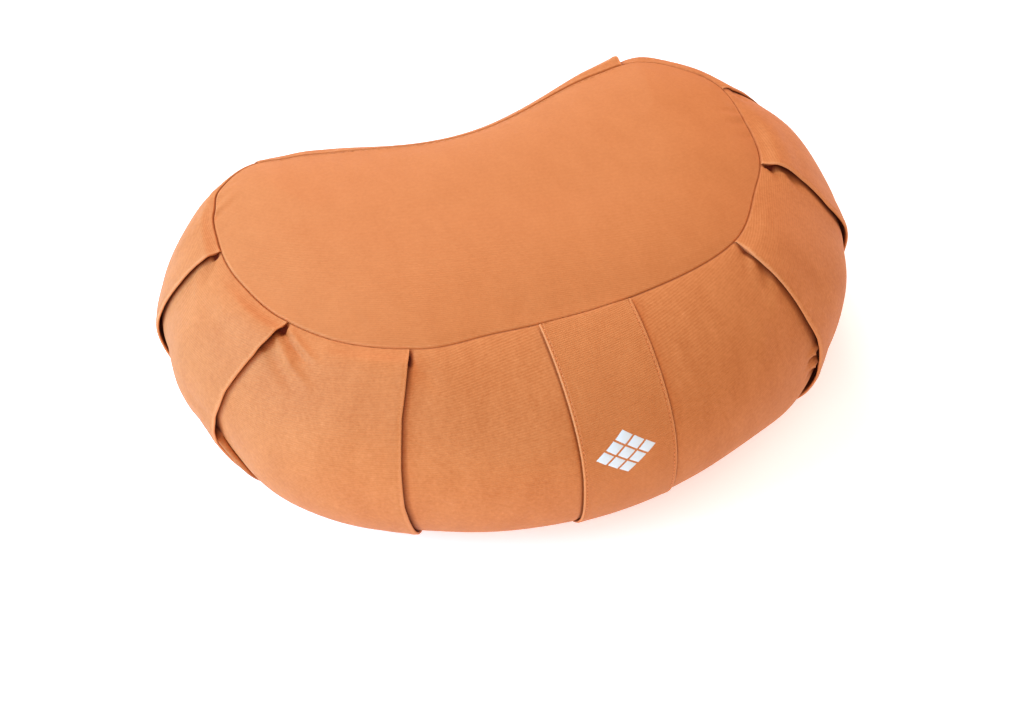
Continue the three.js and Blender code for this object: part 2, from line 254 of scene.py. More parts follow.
# How far the stuffing swells the band past its seams, in millimetres, as waves round the crescent: ahead is
# fullest at the front's middle, and aside a quarter turn from it towards +X.
BULGE = table(
    "wave ahead aside",
    (0, 44, 0),
    (1, 25.5, 4),
    (2, 2.25, 0),
    (4, 2.25, 0),
)

# The band's section: how many millimetres further out its lower edge lies than its upper one, and the
# powers that set how high its fullest place lies, how flat it is there, and how it turns in to the seams.
FLARE = 6.8
FULLEST = 0.95
FLATNESS = 2.25
TURN_IN = 0.74

# The band's face is worked out no nearer to a seam than this share of the height, and the swells die out
# over these shares at the top and at the bottom.
SEAM_EDGE = 0.0008
SWELL_END_TOP = 0.03
SWELL_END_BOTTOM = 0.05

# The band's mesh: its rows, the swell and the seams' heights for which they lie evenly, the columns' step
# between pleats and by the strap, the columns beside each of the strap's edges, from outside it to inside
# it, and how far the even ones keep off. Then how much longer the cloth runs round the belly than along the
# seam, and the step of its hidden rows.
BAND_ROWS = 146
EVEN_SWELL = 50
EVEN_TOP = 138
EVEN_BOTTOM = 5
COLUMN_STEP = 2.6
STRAP_COLUMN_STEP = 2.8
BESIDE_STRAP = (-7, -4.4, -2.8, -1.7, -1, -0.5, 0, 0.6, 1.6, 3.4)
CLEAR_OUTSIDE = 8.5
CLEAR_INSIDE = 5
BELLY_STRETCH = 1.28
HIDDEN_STEP = 3.0

# A fold, in millimetres: the radius of its edge, the soft roll of cloth that stands up behind the edge,
# how far the gape lifts the plain cloth beside it, and the share of its thickness left at the seams, over
# a share of the height.
EDGE_RADIUS = 0.75
ROLL_HEIGHT = 0.35
ROLL_BEHIND = 2.4
ROLL_WIDTH = 1.8
LIFT_REACH = 90
SEAM_HOLD = 0.35
SEAM_HOLD_REACH = 0.02

# Painted highlight and painted shade, both from 0 to 1 with their reach in millimetres: the painted
# highlight on the edge of a fold, the painted shade beside the edge, the least painted shade under a fold
# and the lap from which it is full, the painted shade in a trough between two depths, the painted shade at
# the drawn-in seams and the painted highlight on the rim of the top panel.
EDGE_HIGHLIGHT_REACH = 1.2
BESIDE_FOLD = 0.55
BESIDE_FOLD_REACH = 1.3
LEAST_UNDER_FOLD = 0.2
FULL_LAP = 6
TROUGH_SHADE = 0.9
TROUGH_FROM = 1.5
TROUGH_TO = 3.1
SEAM_SHADE = 0.6
RIM_HIGHLIGHT = 0.35

# Slow lumps in the filling, in millimetres, and the share of them that the strap presses flat.
BROAD_LUMPS = 0.55
FINE_LUMPS = 0.25
LUMPS_PRESSED = 0.85

# The top panel's crown rises over this many millimetres from the seam, by this power, round a middle a
# little in front of the outline's. Lumps and creases fade in from the seam over these shares of its rise,
# about 9 and 1 mm.
CROWN_REACH = 75
CROWN_POWER = 2.3
MIDDLE_Y = -6
LUMPS_OVER = 1 / 4
CREASES_OVER = 1 / 32

# How far the flat foot of the base panel lies inside its seam, in millimetres.
FOOT_INSET = 16

# The strap, in millimetres: how far its middle leans to -X, how high it stands off the band and how much
# higher halfway down, how far it presses the band in, and how far beyond its edges and within them that
# fades. Its ends stop at this share of the height from the seams.
STRAP_LEAN = 6.2
STRAP_STAND = 0.4
STRAP_SLACK = 0.3
PRESS = 1.5
PRESS_OUT = 3
PRESS_IN = 2.5
STRAP_END = 0.0012

# The painted shadow beside the strap's edges: how far beyond them and how wide, in millimetres, and how
# dark it is at the -X edge and at the +X one.
STRAP_SHADOW_BEYOND = 0.4
STRAP_SHADOW_WIDTH = 0.6
STRAP_SHADOW_SHADES = (0.55, 0.4)

# The strap's edge stitching, in millimetres: its distance from the edge, its pitch, half a stitch's width
# and thickness, half its length as a share of the pitch, and how far it draws the cloth in.
STITCH_INSET = 1.9
STITCH_PITCH = 2.8
STITCH_WIDE = 0.28
STITCH_THICK = 0.22
STITCH_LONG = 0.4
STITCH_DRAWN = 0.3

# The mark on the strap, in millimetres: its rows as steps from the middle one and how many lozenges stand
# in each, the pitch across and down, half a lozenge's width, its dome, how deep its rim sinks in, and how
# far its middle lies from the strap's. Then its share of the height, and the band's run between the seams.
MARK_ROWS = ((-2, 1), (-1, 2), (0, 3), (1, 2), (2, 1))
MARK_ACROSS = 13.0
MARK_DOWN = 6.1
LOZENGE = 5.3
MARK_DOME = 0.35
MARK_SINK = 0.2
MARK_SIDE = -2.7
MARK_PLACE = 0.316
BAND_RUN = 215

# The twill, in millimetres: its ribs' pitch, the length of a cloud in its nap, and the nap's own grain,
# which is drawn coarser than the real fibres so that it shows.
RIB_PITCH = 1.3
CLOUD = 17
NAP = 2.2

# The twill's shades as shares of its own colour: in a hollow of the weave, on its ribs, the painted
# highlight on folded edges and rims, and the painted shade inside a fold or a seam.
HOLLOW = (0.87, 0.79, 0.7)
RAISED = (1.08, 1.16, 1.3)
PAINTED_HIGHLIGHT = (1.17, 1.36, 1.8)
PAINTED_SHADE = (0.22, 0.07, 0.035)

# The studio: each lamp's turn round the cushion from its front towards +X and its rise above the floor, in
# degrees, and its power in watts. The lamps' distance and size and half the floor's width are in metres.
LAMPS = table(
    "name turn rise power colour",
    ("window", -100, 30, 39, "#7FC8FF"),
    ("low_front", -40, 44, 15.5, "#FFFAF6"),
    ("right", 98, 16, 13, "#FFE8D0"),
    ("overhead", 0, 88, 2, "#FFFFFF"),
    ("back", 180, 40, 21, "#FFF6EE"),
)
LAMP_DISTANCE = 1.6
LAMP_SIZE = 1.2
FLOOR_HALF = 6
SKY_STRENGTH = 0.18

# The camera's lens, sensor and aim from the outline's middle and the floor, all in millimetres.
LENS = 49.22
SENSOR = 36
AIM = (-27.4, -61.7, 71.3)


def along(knots, down):
    """A curve through pairs of share and value, rounded off over 0.02 either side, at given shares."""
    fine = np.linspace(-0.2, 1.2, 561)
    values = np.interp(fine, *zip(*knots))
    window = np.exp(-(np.linspace(-2, 2, 17) ** 2))
    values = np.convolve(np.pad(values, 8, mode="edge"), window / window.sum(), mode="valid")
    return np.interp(down, fine, values)


def ease(share):
    """A share cut off at 0 and 1, with a soft start and end between them."""
    share = np.clip(share, 0, 1)
    return share * share * (3 - 2 * share)


def hump(distance, width):
    """1 at no distance, dying out over a few widths."""
    return np.exp(-((distance / width) ** 2))


def seam_value(angle, key):
    """A column of STRAYS at an angle, eased from each row to the next."""
    turns = range(-2, 3)
    knots = [row["place"] + turn * PERIMETER for turn in turns for row in STRAYS]
    values = np.array([row[key] for row in STRAYS] * len(turns))
    place = np.asarray(angle) * PERIMETER / (2 * math.pi)
    after = np.clip(np.searchsorted(knots, place), 1, len(knots) - 1)
    low, high = np.take(knots, after - 1), np.take(knots, after)
    return values[after - 1] + (values[after] - values[after - 1]) * ease((place - low) / (high - low))


def outline(angle, stray=None):
    """The seam's point and outward direction at an angle, 0 at the front's middle, growing towards +X,
    with a share of the top seam's straying."""
    x = sum(row["along_x"] * np.sin(row["wave"] * angle) for row in OUTLINE)
    y = sum(row["along_y"] * np.cos(row["wave"] * angle) for row in OUTLINE) + OUTLINE_CENTRE_Y
    along_x = sum(row["wave"] * row["along_x"] * np.cos(row["wave"] * angle) for row in OUTLINE)
    along_y = -sum(row["wave"] * row["along_y"] * np.sin(row["wave"] * angle) for row in OUTLINE)
    length = np.hypot(along_x, along_y)
    out_x, out_y = along_y / length, -along_x / length
    if stray is None:
        return x, y, out_x, out_y
    off = stray * seam_value(angle, "out")
    return x + out_x * off, y + out_y * off, out_x, out_y


# The seam as a ring of points, its length, and where the outline's middle lies in the frame.
TURN = np.linspace(0, 2 * math.pi, 1441)
SEAM_X, SEAM_Y = outline(TURN)[:2]
PERIMETER = np.hypot(np.diff(SEAM_X), np.diff(SEAM_Y)).sum()
CENTRE_X = (PANEL_LOW[0] + PANEL_HIGH[0]) / 2 / MM - (SEAM_X.min() + SEAM_X.max()) / 2
CENTRE_Y = (PANEL_LOW[1] + PANEL_HIGH[1]) / 2 / MM - (SEAM_Y.min() + SEAM_Y.max()) / 2
TOP_X, TOP_Y = outline(TURN, 1)[:2]


def angle_at(place):
    """The angle at a place along the seam."""
    return 2 * math.pi * place / PERIMETER


def seam_heights():
    """The heights of the top seam and the bottom one, in millimetres."""
    sizes = bpy.context.scene.cushion
    return sizes.seam_top / MM, sizes.seam_bottom / MM


def bulge(angle):
    """How far the band swells past its seams at an angle, in millimetres."""
    ahead = sum(row["ahead"] * np.cos(row["wave"] * angle) for row in BULGE)
    return ahead + sum(row["aside"] * np.sin(row["wave"] * angle) for row in BULGE)


def band_section(swell, down, top, bottom):
    """How far out of the seam and how high the band's face lies at the shares in down."""
    full = (1 - np.abs(2 * down**FULLEST - 1) ** FLATNESS) ** TURN_IN
    return swell * full + FLARE * down, top + (bottom - top) * down


def swell_here(place, down):
    """How far the filling lifts the cloth off an even band, in millimetres."""
    total = 0 * place
    for row in SWELLS:
        near = (place - row["place"] + PERIMETER / 2) % PERIMETER - PERIMETER / 2
        total = total + row["height"] * hump(near, row["along"]) * hump(down - row["down"], row["share"])
    return total * ease(down / SWELL_END_TOP) * ease((1 - down) / SWELL_END_BOTTOM)


def band_face(place, down, lift=0.0):
    """Points on the side band, in millimetres, lifted off its face."""
    top, bottom = seam_heights()
    angle = angle_at(place)
    x, y, out_x, out_y = outline(angle, 1 - ease(down / STRAY_REACH))
    down = np.clip(down, SEAM_EDGE, 1 - SEAM_EDGE)
    lift = lift + swell_here(place, down)
    swell = bulge(angle)
    reach, height = band_section(swell, down, top, bottom)
    reach_above, height_above = band_section(swell, down - SEAM_EDGE / 2, top, bottom)
    reach_below, height_below = band_section(swell, down + SEAM_EDGE / 2, top, bottom)
    run, fall = reach_above - reach_below, height_above - height_below
    size = np.hypot(run, fall)
    out = reach + fall / size * lift
    height = height - run / size * lift
    return np.stack([x + out_x * out + CENTRE_X, y + out_y * out + CENTRE_Y, height + 0 * x], -1)


def height_shares(rows):
    """Shares of the band's height that lie evenly along its section."""
    fine = (1 - np.cos(np.linspace(0, math.pi, 801))) / 2
    reach, height = band_section(EVEN_SWELL, fine, EVEN_TOP, EVEN_BOTTOM)
    length = np.append(0, np.cumsum(np.hypot(np.diff(reach), np.diff(height))))
    return np.interp(np.linspace(0, length[-1], rows + 1), length, fine)


def fold_path():
    """A knife pleat's section, from its outer face round the edge and back under it to the next
    length. Each point has its distance past the edge in millimetres, its share of the lap behind the
    edge, its share of the fold's thickness and its share of the gape."""
    path = [(past, 0, 1, 1) for past in (-18, -13.5, -10, -7.2, -5, -3.4, -2.2)]
    for turn in np.radians([72, 50, 28, 6, -16, -38, -60, -82]):
        path.append((EDGE_RADIUS * (math.cos(turn) - 1), 0, (1 + math.sin(turn)) / 2, 1))
    path += [(0, 0.3, 0, 0.98), (0, 0.6, 0, 0.95), (0, 0.9, 0, 0.8), (0, 1, 0, 0.45), (0, 0.92, 0, 0.12)]
    path += [(0, 0.6, 0, 0.03), (0, 0.25, 0, 0)]
    return path + [(past, 0, 0, 0) for past in (0.6, 3, 6, 9.5)]


def half_strap():
    """Half the strap's width, in millimetres."""
    return bpy.context.scene.cushion.strap_width / MM / 2


def strap_lie(down):
    """How far apart places lie across the strap at given shares, and how far its middle leans to -X."""
    spread = np.linalg.norm(band_face(1 + 0 * down, down) - band_face(-1 + 0 * down, down), axis=-1) / 2
    return spread, STRAP_LEAN * np.sin(math.pi * down) ** 0.7


def strap_press(places, shares):
    """How firmly the strap presses the band, from 0 to 1, and how dark the painted shadow beside it is."""
    spread, lean = strap_lie(shares)
    side = places * spread + lean
    outside = np.abs(side) - half_strap()
    strap_shadow = hump(outside - STRAP_SHADOW_BEYOND, STRAP_SHADOW_WIDTH) * np.where(side < 0, *STRAP_SHADOW_SHADES)
    return ease((PRESS_OUT - outside) / (PRESS_OUT + PRESS_IN)), strap_shadow


def plain_columns(start, end, down):
    """The places of the columns between two pleats, which follow the strap's edges where it lies there."""
    if not start.mean() < 0 < end.mean():
        count = max(2, round((end - start).mean() / COLUMN_STEP))
        return [start + (end - start) * n / count for n in range(1, count)]
    spread, lean = strap_lie(down)
    left, right = (-half_strap() - lean) / spread, (half_strap() - lean) / spread
    beside = np.array(BESIDE_STRAP)
    spans = (
        (start, left, 0, CLEAR_OUTSIDE, beside),
        (left, right, CLEAR_INSIDE, CLEAR_INSIDE, -beside[::-1]),
        (right, end, CLEAR_OUTSIDE, 0, ()),
    )
    places = []
    for low, high, clear_low, clear_high, offsets in spans:
        width = (high - low).mean()
        count = round(width / STRAP_COLUMN_STEP)
        for share in np.arange(1, count) / count:
            if clear_low < share * width < width - clear_high:
                places.append(low + (high - low) * share)
        places += [high + offset / spread for offset in offsets]
    return places


def pleat_columns(pleat, down):
    """A pleat's columns, in order towards +X: the place, the lift and the painted highlight or shade of each
    down the band.
    """
    lip = bpy.context.scene.cushion.lip / MM
    facing = -1 if pleat["place"] > 0 else 1
    curves = {**PLAIN_PLEAT, **pleat}
    sway, gape, lap, pressed = (along(curves[key], down) for key in ("sway", "gape", "lap", "thick"))
    held = SEAM_HOLD + (1 - SEAM_HOLD) * ease(np.minimum(down, 1 - down) / SEAM_HOLD_REACH)
    columns = []
    for past, back, thick, open_ in fold_path():
        place = pleat["place"] + facing * (past - back * lap) + sway
        roll = ROLL_HEIGHT * hump(past + ROLL_BEHIND, ROLL_WIDTH) * thick
        lift = held * (thick * lip * pressed + open_ * gape + roll * pressed)
        # Painted highlight on the fold's edge, painted shade inside the fold, fuller where the lap is long,
        # and painted shade on the next length just past the edge.
        painted_light = hump(past, EDGE_HIGHLIGHT_REACH) * (back == 0 and thick > 0.15)
        under = (LEAST_UNDER_FOLD + (1 - LEAST_UNDER_FOLD) * ease(lap / FULL_LAP)) * (back > 0)
        beside = BESIDE_FOLD * hump(past, BESIDE_FOLD_REACH) * (back == 0 and thick == 0)
        columns.append((place, lift, painted_light - under - beside))
    return columns[::facing]


def band_columns(down):
    """Places, lifts, the length of band and the painted light of every column, at the shares in down: 1 for
    a painted highlight on a folded edge, -1 for full painted shade inside a fold."""
    belly = bpy.context.scene.cushion.belly / MM * np.sin(math.pi * down)
    folds = [pleat_columns(pleat, down) for pleat in sorted(PLEATS, key=lambda row: row["place"])]
    columns = []
    for i, fold in enumerate(folds):
        columns += [(*column, i + (n >= len(fold) / 2)) for n, column in enumerate(fold)]
        place_before, lift_before = fold[-1][:2]
        place_after, lift_after = folds[(i + 1) % len(folds)][0][:2]
        if i + 1 == len(folds):
            place_after = place_after + PERIMETER
        gap = place_after - place_before
        fall = max(1, gap.mean() / LIFT_REACH)
        for place in plain_columns(place_before, place_after, down):
            share = (place - place_before) / gap
            lift = lift_before * (1 - ease(share * fall)) + lift_after * (1 - ease((1 - share) * fall))
            columns.append((place, lift + belly * np.sin(math.pi * share), 0 * down, i + 1))
    place, lift, painted_light_value, length = columns[0]
    columns.append((place + PERIMETER, lift, painted_light_value, length + len(folds)))
    places, lifts, painted_lights, lengths = (np.array(values).T for values in zip(*columns))
    return places, lifts, lengths, painted_lights


def gather(row, places, lengths, base):
    """The lift of one soft ridge or trough of cloth, in millimetres, at every point of the band."""
    steps = np.linspace(0, 1, 14)
    line = band_face(*(start + (end - start) * steps for start, end in zip(row["start"], row["end"])))
    near = np.full(places.shape, np.inf)
    share = np.zeros(places.shape)
    for step, point in zip(steps, line):
        far = ((base - point) ** 2).sum(-1)
        closer = far < near
        near[closer] = far[closer]
        share[closer] = step
    # It starts at about 0.7 of its height, is highest a third of the way along and then dies out.
    taper = np.sin(math.pi * (share * 0.75 + 0.25))
    own = lengths % len(PLEATS) == (row["length"] + 1) % len(PLEATS)
    return row["height"] * np.exp(-near / row["width"] ** 2) * taper * own


def panel_creases(points):
    """The lift of the top panel's creases, in millimetres."""
    x, y = points[..., 0] - CENTRE_X, points[..., 1] - CENTRE_Y
    total = 0 * x
    for row in PANEL_CREASES:
        (from_x, from_y), (to_x, to_y) = row["start"], row["end"]
        run_x, run_y = to_x - from_x, to_y - from_y
        length = run_x * run_x + run_y * run_y
        share = np.clip(((x - from_x) * run_x + (y - from_y) * run_y) / length, 0, 1)
        far = (x - from_x - share * run_x) ** 2 + (y - from_y - share * run_y) ** 2
        total = total + row["height"] * np.exp(-far / row["width"] ** 2) * (1 - share**2)
    return total


def lumps(points):
    """Slow unevenness of the filling under the cloth, in millimetres, as waves 70 to 270 mm long."""
    x, y, z = points[..., 0], points[..., 1], points[..., 2]
    broad = np.sin(x / 31 + 1.3 * np.sin(y / 43)) * np.sin(y / 27 + z / 35 + 0.7)
    fine = np.sin(x / 13 + y / 17 + 2) * np.sin(z / 15 - x / 23) * np.sin(y / 11 + 0.5)
    return BROAD_LUMPS * broad + FINE_LUMPS * fine


def inside(angle, share, inset, height, stray=0):
    """Points a share of the way out from the panels' middle to the seam, less an inset, at a height."""
    x, y, out_x, out_y = outline(angle, stray)
    x = (x - out_x * inset) * share
    y = MIDDLE_Y + (y - out_y * inset - MIDDLE_Y) * share
    return np.stack([x + CENTRE_X, y + CENTRE_Y, height + 0 * x], -1)


def crown_share(points):
    """How far the top panel has risen above its seam at each point, as a share of its crown."""
    seam = np.stack([TOP_X + CENTRE_X, TOP_Y + CENTRE_Y], -1)[::4]
    flat = points[..., :2].reshape(-1, 1, 2)
    # The distances are worked out in parts, as one table of them all would be very large.
    parts = np.array_split(flat, 40)
    reach = np.concatenate([np.sqrt(((part - seam) ** 2).sum(-1)).min(-1) for part in parts])
    share = np.clip(reach / CROWN_REACH, 0, 1).reshape(points.shape[:-1])
    return 1 - (1 - share) ** CROWN_POWER


def smooth_object(name, bm):
    """A smooth-shaded object at the origin, made of a bmesh, which is used up."""
    mesh = bpy.data.meshes.new(name)
    bm.to_mesh(mesh)
    bm.free()
    mesh.shade_smooth()
    made = bpy.data.objects.new(name, mesh)
    bpy.context.scene.collection.objects.link(made)
    return made


def bent_grid(name, points, cloth_uv, attributes=None):
    """A mesh object of a grid bent to points[row, column], closed round and at its ends, with cloth
    coordinates in metres and named values at its vertices."""
    rows, columns = points.shape[0] - 1, points.shape[1] - 1
    bm = bmesh.new()
    bmesh.ops.create_grid(bm, x_segments=columns, y_segments=rows, size=0.5)
    layer = bm.loops.layers.uv.new("Cloth")
    values = {key: bm.verts.layers.float.new(key) for key in attributes or {}}
    where = {}
    for vert in bm.verts:
        column, row = round((vert.co.x + 0.5) * columns), round((vert.co.y + 0.5) * rows)
        where[vert] = (row, column)
        vert.co = points[row, column] * MM
        for key, value in values.items():
            vert[value] = attributes[key][row, column]
    for face in bm.faces:
        for loop in face.loops:
            loop[layer].uv = cloth_uv[where[loop.vert]] * MM
    bmesh.ops.remove_doubles(bm, verts=bm.verts, dist=1e-6)
    bmesh.ops.recalc_face_normals(bm, faces=bm.faces)
    return smooth_object(name, bm)


def linear(hex_colour):
    """The linear value of an sRGB hex colour."""
    parts = [int(hex_colour[i : i + 2], 16) / 255 for i in (1, 3, 5)]
    return tuple(c / 12.92 if c <= 0.04045 else ((c + 0.055) / 1.055) ** 2.4 for c in parts)


def tinted(colour, shares):
    """A colour times a share for each channel, with its alpha, no brighter than white."""
    return (*np.minimum(np.array(colour) * shares, 1), 1)


def node(tree, kind, links=None, **settings):
    """Adds a node, with its settings, and what each input holds or is linked to."""
    made = tree.nodes.new(kind)
    for key, value in settings.items():
        setattr(made, key, value)
    for key, value in (links or {}).items():
        if isinstance(value, bpy.types.NodeSocket):
            tree.links.new(value, made.inputs[key])
        else:
            made.inputs[key].default_value = value
    return made


def plain_material(name, inputs):
    """A material of one colour, whose finish is given by its shader's inputs."""
    material = bpy.data.materials.new(name)
    material.use_nodes = True
    shader = material.node_tree.nodes["Principled BSDF"]
    for key, value in inputs.items():
        shader.inputs[key].default_value = value
    return material


def brushed_twill(name, colour, rib=0.7, turn=0.0, cloudy=1.0):
    """Cotton twill brushed after weaving: fine slanting ribs under a short soft nap, which gives a
    matt face, a faint cloudy mottle where the nap lies different ways, and paler rims where it is seen
    edge on. A vertex attribute paints highlights on edges and shade in folds and seams."""
    material = bpy.data.materials.new(name)
    material.use_nodes = True
    tree = material.node_tree
    tree.nodes.clear()
    place = node(tree, "ShaderNodeTexCoord")
    cloth = node(tree, "ShaderNodeUVMap", uv_map="Cloth")
    # The ribs run 7 degrees off the cloth's first direction, and the piece's own turn is added to that.
    slant = (0, 0, math.radians(97 + turn))
    slanted = node(tree, "ShaderNodeMapping", {"Vector": cloth.outputs["UV"], "Rotation": slant})
    # A wave texture's band repeats every 2 pi / 20 of its scaled input.
    ribs = node(
        tree,
        "ShaderNodeTexWave",
        {
            "Vector": slanted.outputs[0],
            "Scale": 2 * math.pi / 20 / (RIB_PITCH * MM),
            "Distortion": 0.6,
            "Detail": 1.0,
            "Detail Scale": 2.0,
        },
    )
    # The nap was brushed nearly along the cloth's second direction, and its clouds are twice as long so.
    drawn = {"Scale": (1, 0.5, 1), "Rotation": (0, 0, 0.2)}
    brushed = node(tree, "ShaderNodeMapping", {"Vector": cloth.outputs["UV"], **drawn})
    clouds = node(
        tree,
        "ShaderNodeTexNoise",
        {"Vector": brushed.outputs[0], "Scale": 1 / (CLOUD * MM), "Detail": 4.0, "Roughness": 0.66},
    )
    nap = node(
        tree,
        "ShaderNodeTexNoise",
        {"Vector": place.outputs["Object"], "Scale": 1 / (NAP * MM), "Detail": 2.0, "Roughness": 0.6},
    )
    mottle = node(tree, "ShaderNodeMath", {0: clouds.outputs[0], 1: nap.outputs[0]}, operation="ADD")
    shades = {"To Min": 0.42 - 0.28 * cloudy, "To Max": 0.42 + 0.28 * cloudy}
    shades = {"Value": mottle.outputs[0], "From Min": 0.65, "From Max": 1.35, **shades}
    spread = node(tree, "ShaderNodeMapRange", shades)
    ribbed = node(
        tree,
        "ShaderNodeMath",
        {0: ribs.outputs["Fac"], 1: 0.25 * rib, 2: spread.outputs[0]},
        operation="MULTIPLY_ADD",
    )
    # The painted highlight and painted shade come from the pieces' attribute: above 0 it lightens the cloth
    # towards the painted highlight, and below 0 it mixes in the painted shade colour.
    painted_light = node(tree, "ShaderNodeAttribute", attribute_name="painted_light")
    shade = node(
        tree,
        "ShaderNodeMath",
        {0: painted_light.outputs["Fac"], 1: 0.9, 2: ribbed.outputs[0]},
        operation="MULTIPLY_ADD",
    )
    ramp = node(tree, "ShaderNodeValToRGB", {"Fac": shade.outputs[0]})
    hollow, raised = ramp.color_ramp.elements
    hollow.position = 0.0
    hollow.color = tinted(colour, HOLLOW)
    raised.position = 0.85
    raised.color = tinted(colour, RAISED)
    ramp.color_ramp.elements.new(1.0).color = tinted(colour, PAINTED_HIGHLIGHT)
    painted_shade_share = node(
        tree,
        "ShaderNodeMapRange",
        {"Value": painted_light.outputs["Fac"], "From Min": -1.0, "From Max": 0.0, "To Min": 1.0, "To Max": 0.0},
    )
    painted_shading = node(
        tree,
        "ShaderNodeMix",
        {"Factor": painted_shade_share.outputs[0], 6: ramp.outputs[0], 7: tinted(colour, PAINTED_SHADE)},
        data_type="RGBA",
    )
    rib_bump = node(
        tree,
        "ShaderNodeBump",
        {"Strength": rib, "Distance": 0.12 * MM, "Height": ribs.outputs["Fac"]},
    )
    nap_bump = node(
        tree,
        "ShaderNodeBump",
        {"Strength": 0.5, "Distance": 0.25 * MM, "Height": nap.outputs[0], "Normal": rib_bump.outputs[0]},
    )
    shader = node(
        tree,
        "ShaderNodeBsdfPrincipled",
        {
            "Base Color": painted_shading.outputs[2],
            "Roughness": 0.66,
            "Specular IOR Level": 0.22,
            "Sheen Weight": 0.1,
            "Sheen Roughness": 0.5,
            "Sheen Tint": (*np.minimum(np.array(colour) * 1.5 + 0.1, 1), 1),
            "Normal": nap_bump.outputs[0],
        },
    )
    node(tree, "ShaderNodeOutputMaterial", {"Surface": shader.outputs[0]})
    return material


def finish_piece(piece, material, slot, *nodes):
    """Gives a piece its material and its body, and hides the solids that it stands for."""
    piece.data.materials.append(material)
    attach(piece, "root")
    if nodes:
        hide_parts(*nodes)


def length_size(name, description, default):
    """A size in metres that a user may change."""
    return bpy.props.FloatProperty(name=name, description=description, default=default, unit="LENGTH")


def angle_choice(name, description, degrees):
    """An angle that a user may change."""
    return bpy.props.FloatProperty(
        name=name, description=description, default=math.radians(degrees), subtype="ANGLE"
    )


def colour_choice(name, description, default):
    """A colour that a user may change."""
    return bpy.props.FloatVectorProperty(
        name=name, description=description, default=linear(default), subtype="COLOR"
    )


class CushionSizes(bpy.types.PropertyGroup):
    """The cushion's sizes and colours, and how it is seen."""

    seam_top: length_size("Top seam", "Height of the seam round the top panel", CROWN_TOP - 0.012)
    seam_bottom: length_size("Bottom seam", "Height of the seam round the base panel", 0.005)
    crown: length_size("Crown", "How far the top panel rises above its seam", 0.012)
    belly: length_size("Belly", "Swell of the band between two pleats", 0.0025)
    lip: length_size("Fold thickness", "Thickness of a pleat's folded edge", 0.0015)
    cloth: length_size("Cloth", "Thickness of a panel with its seam allowance", 0.0016)
    strap_width: length_size("Strap width", "Width of the carrying strap", 0.0585)
    strap_thickness: length_size("Strap thickness", "Thickness of the doubled strap", 0.0018)
    cloth_colour: colour_choice("Cloth colour", "Colour of the twill", "#CB733A")
    mark_colour: colour_choice("Mark colour", "Colour of the stitched mark", "#E2E1E0")
    floor_colour: colour_choice("Floor colour", "Colour of the floor", "#F7F6F4")
    view_azimuth: angle_choice("View azimuth", "Camera's turn round the cushion", -24)
    view_elevation: angle_choice("View elevation", "Camera's angle above the floor", 47.5)
    view_distance: length_size("View distance", "From the camera to the point it looks at", 0.88)


class CUSHION_OT_side_band(bpy.types.Operator):
    """The stuffed side band with its knife pleats"""

    bl_idname = "cushion.side_band"
    bl_label = "Side band"

    def execute(self, context):
        down = height_shares(BAND_ROWS)
        places, lifts, lengths, painted_lights = band_columns(down)
        shares = np.broadcast_to(down[:, None], places.shape)
        base = band_face(places, shares, lifts)
        pressed, strap_shadow = strap_press(places, shares)
        creased = sum(gather(row, places, lengths, base) for row in GATHERS)
        lifts = lifts + lumps(base) * np.sin(math.pi * shares) ** 0.5 * (1 - LUMPS_PRESSED * pressed)
        lifts = lifts - PRESS * pressed * np.sin(math.pi * shares) + creased
        face = band_face(places, shares, lifts)
        above, below = band_turned_in(angle_at(places[0]), angle_at(places[-1]))
        points = np.stack([*above, *face, *below])
        # Painted shadow beside the strap's edges and painted shade in the deeper troughs of the gathers; the
        # edges turned in at the seams get painted shade.
        trough = ease((-creased - TROUGH_FROM) / (TROUGH_TO - TROUGH_FROM))
        painted_lights = np.maximum(painted_lights - strap_shadow * ease(shares / 0.01) - TROUGH_SHADE * trough, -1)
        painted_light = np.full(points.shape[:2], -SEAM_SHADE) * seam_value(angle_at(places[0]), "deep")
        painted_light[len(above) : -len(below)] = painted_lights
        cloth_uv = band_cloth(places, base, len(above), len(below))
        piece = bent_grid("pleated_side_band", points, cloth_uv, {"painted_light": painted_light})
        twill = brushed_twill("Brushed cotton twill", context.scene.cushion.cloth_colour, cloudy=1.4)
        finish_piece(piece, twill, "band_cloth", "stuffed_band")
        return {"FINISHED"}


def band_turned_in(angle, low_angle):
    """The band's edges as rings, turned in under the top panel and over the base one to its middle."""
    top, bottom = seam_heights()
    tucked = ((5, 3.6), (1.3, 2.8), (0.6, 1.7), (0.2, 0.7))
    above = [inside(angle, share, 0, top - 3.6 + 8 * (1 - share), stray=1) for share in (0, 0.35, 0.7)]
    above += [inside(angle, 1, inset, top - drop, stray=1) for inset, drop in tucked]
    tucked_low = ((0.2, 0.3), (1, 1), (3, 2), (12, -1))
    below = [inside(low_angle, 1, inset, bottom + rise) for inset, rise in tucked_low]
    below += [inside(low_angle, share, FOOT_INSET, 2.2) for share in (0.9, 0.5, 0)]
    return above, below


def band_cloth(places, base, rings_above, rings_below):
    """The cloth's own coordinates on the band, in millimetres along and down it."""
    along_cloth = places * BELLY_STRETCH
    down_cloth = np.append(0, np.cumsum(np.linalg.norm(np.diff(base, axis=0), axis=-1).mean(1)))
    u = np.concatenate([along_cloth[:1]] * rings_above + [along_cloth] + [along_cloth[-1:]] * rings_below)
    above, below = np.arange(-rings_above, 0) * HIDDEN_STEP, np.arange(rings_below) * HIDDEN_STEP
    v = np.concatenate([above, down_cloth, down_cloth[-1] + below])
    return np.stack([u, np.broadcast_to(v[:, None], u.shape)], -1)


